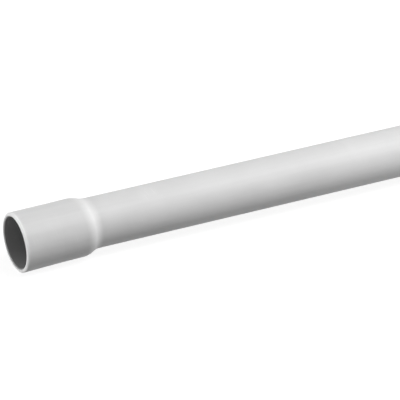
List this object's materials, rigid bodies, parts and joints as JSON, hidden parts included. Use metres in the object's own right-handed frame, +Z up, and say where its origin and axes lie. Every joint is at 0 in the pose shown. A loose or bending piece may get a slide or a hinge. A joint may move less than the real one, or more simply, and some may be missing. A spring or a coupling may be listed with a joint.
{
  "type": "pvc conduit pipe",
  "caption": "Straight length of light-grey rigid PVC electrical conduit with a moulded bell socket at one end and a plain bevelled end.",
  "frame": {"origin": "centre of the bell's mouth, in the plane of its end face", "axes": "+X along the pipe's axis from the mouth of the bell to the plain end, +Z up with the pipe lying on its side"},
  "size_m": [3.048, 0.039, 0.0392],
  "materials": {
    "grey_pvc": "satin"
  },
  "bodies": {
    "root": {"conduit_pipe": "grey_pvc"}
  },
  "joints": []
}
